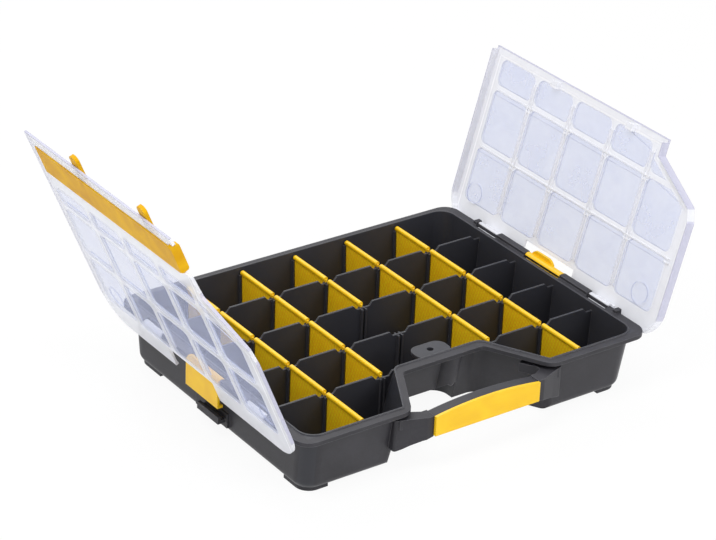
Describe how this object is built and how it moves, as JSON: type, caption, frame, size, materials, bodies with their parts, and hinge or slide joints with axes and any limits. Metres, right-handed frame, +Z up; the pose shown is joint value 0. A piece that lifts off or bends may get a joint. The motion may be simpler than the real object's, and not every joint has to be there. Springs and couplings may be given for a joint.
{
  "type": "compartment storage box",
  "caption": "Shallow storage box with walled compartments, lift-out dividers, two clear hinged lids, a sliding lid latch, side latches and a front carrying handle.",
  "frame": {"origin": "on the tray's flat underside, midway between the two hinge axes and midway along the rim; the feet reach 2 mm below it", "axes": "+X across the box to the right lid's hinge, +Y away from the handle, +Z up"},
  "size_m": [0.4916, 0.2951, 0.2448],
  "materials": {
    "black_plastic": "satin",
    "yellow_plastic": "glossy",
    "clear_plastic": "clear, slightly frosted"
  },
  "bodies": {
    "tray": {"tray": "black_plastic", "handle_grip": "yellow_plastic"},
    "left_lid": {"left_lid": "clear_plastic"},
    "right_lid": {"right_lid": "clear_plastic"},
    "latch_slider": {"latch_slider": "yellow_plastic"},
    "side_latch_left": {"side_latch_left": "yellow_plastic"},
    "side_latch_right": {"side_latch_right": "yellow_plastic"},
    "divider_r1c1": {"divider_r1c1": "yellow_plastic"},
    "divider_r1c2": {"divider_r1c2": "yellow_plastic"},
    "divider_r1c3": {"divider_r1c3": "yellow_plastic"},
    "divider_r1c4": {"divider_r1c4": "yellow_plastic"},
    "divider_r1c5": {"divider_r1c5": "yellow_plastic"},
    "divider_r2c1": {"divider_r2c1": "yellow_plastic"},
    "divider_r2c2": {"divider_r2c2": "yellow_plastic"},
    "divider_r2c3": {"divider_r2c3": "yellow_plastic"},
    "divider_r2c4": {"divider_r2c4": "yellow_plastic"},
    "divider_r2c5": {"divider_r2c5": "yellow_plastic"},
    "divider_r3c1": {"divider_r3c1": "yellow_plastic"},
    "divider_r3c2": {"divider_r3c2": "yellow_plastic"},
    "divider_r3c4": {"divider_r3c4": "yellow_plastic"},
    "divider_r3c5": {"divider_r3c5": "yellow_plastic"},
    "divider_r4c1": {"divider_r4c1": "yellow_plastic"},
    "divider_r4c2": {"divider_r4c2": "yellow_plastic"},
    "divider_r4c4": {"divider_r4c4": "yellow_plastic"},
    "divider_r4c5": {"divider_r4c5": "yellow_plastic"},
    "divider_r5c1": {"divider_r5c1": "yellow_plastic"},
    "divider_r5c5": {"divider_r5c5": "yellow_plastic"}
  },
  "joints": [
    {"name": "left_lid_hinge", "type": "hinge", "parent": "tray", "child": "left_lid", "pos_m": [-0.1775, 0, 0.0543], "axis": [0, -1, 0], "range_deg": [-113, 0]},
    {"name": "right_lid_hinge", "type": "hinge", "parent": "tray", "child": "right_lid", "pos_m": [0.1775, 0, 0.0543], "axis": [0, 1, 0], "range_deg": [-105.6, 0]},
    {"name": "latch_slide", "type": "slide", "parent": "left_lid", "child": "latch_slider", "axis": [0, 1, 0], "range_m": [-0.006, 0]},
    {"name": "left_latch_hinge", "type": "hinge", "parent": "tray", "child": "side_latch_left", "pos_m": [-0.1775, 0, 0.0543], "axis": [0, 1, 0], "range_deg": [0, 90]},
    {"name": "right_latch_hinge", "type": "hinge", "parent": "tray", "child": "side_latch_right", "pos_m": [0.1775, 0, 0.0543], "axis": [0, -1, 0], "range_deg": [0, 90]},
    {"name": "divider_r1c1_lift", "type": "slide", "parent": "tray", "child": "divider_r1c1", "axis": [0, 0, 1], "range_m": [0, 0.06]},
    {"name": "divider_r1c2_lift", "type": "slide", "parent": "tray", "child": "divider_r1c2", "axis": [0, 0, 1], "range_m": [0, 0.06]},
    {"name": "divider_r1c3_lift", "type": "slide", "parent": "tray", "child": "divider_r1c3", "axis": [0, 0, 1], "range_m": [0, 0.06]},
    {"name": "divider_r1c4_lift", "type": "slide", "parent": "tray", "child": "divider_r1c4", "axis": [0, 0, 1], "range_m": [0, 0.06]},
    {"name": "divider_r1c5_lift", "type": "slide", "parent": "tray", "child": "divider_r1c5", "axis": [0, 0, 1], "range_m": [0, 0.06]},
    {"name": "divider_r2c1_lift", "type": "slide", "parent": "tray", "child": "divider_r2c1", "axis": [0, 0, 1], "range_m": [0, 0.06]},
    {"name": "divider_r2c2_lift", "type": "slide", "parent": "tray", "child": "divider_r2c2", "axis": [0, 0, 1], "range_m": [0, 0.06]},
    {"name": "divider_r2c3_lift", "type": "slide", "parent": "tray", "child": "divider_r2c3", "axis": [0, 0, 1], "range_m": [0, 0.06]},
    {"name": "divider_r2c4_lift", "type": "slide", "parent": "tray", "child": "divider_r2c4", "axis": [0, 0, 1], "range_m": [0, 0.06]},
    {"name": "divider_r2c5_lift", "type": "slide", "parent": "tray", "child": "divider_r2c5", "axis": [0, 0, 1], "range_m": [0, 0.06]},
    {"name": "divider_r3c1_lift", "type": "slide", "parent": "tray", "child": "divider_r3c1", "axis": [0, 0, 1], "range_m": [0, 0.06]},
    {"name": "divider_r3c2_lift", "type": "slide", "parent": "tray", "child": "divider_r3c2", "axis": [0, 0, 1], "range_m": [0, 0.06]},
    {"name": "divider_r3c4_lift", "type": "slide", "parent": "tray", "child": "divider_r3c4", "axis": [0, 0, 1], "range_m": [0, 0.06]},
    {"name": "divider_r3c5_lift", "type": "slide", "parent": "tray", "child": "divider_r3c5", "axis": [0, 0, 1], "range_m": [0, 0.06]},
    {"name": "divider_r4c1_lift", "type": "slide", "parent": "tray", "child": "divider_r4c1", "axis": [0, 0, 1], "range_m": [0, 0.06]},
    {"name": "divider_r4c2_lift", "type": "slide", "parent": "tray", "child": "divider_r4c2", "axis": [0, 0, 1], "range_m": [0, 0.06]},
    {"name": "divider_r4c4_lift", "type": "slide", "parent": "tray", "child": "divider_r4c4", "axis": [0, 0, 1], "range_m": [0, 0.06]},
    {"name": "divider_r4c5_lift", "type": "slide", "parent": "tray", "child": "divider_r4c5", "axis": [0, 0, 1], "range_m": [0, 0.06]},
    {"name": "divider_r5c1_lift", "type": "slide", "parent": "tray", "child": "divider_r5c1", "axis": [0, 0, 1], "range_m": [0, 0.06]},
    {"name": "divider_r5c5_lift", "type": "slide", "parent": "tray", "child": "divider_r5c5", "axis": [0, 0, 1], "range_m": [0, 0.06]}
  ]
}
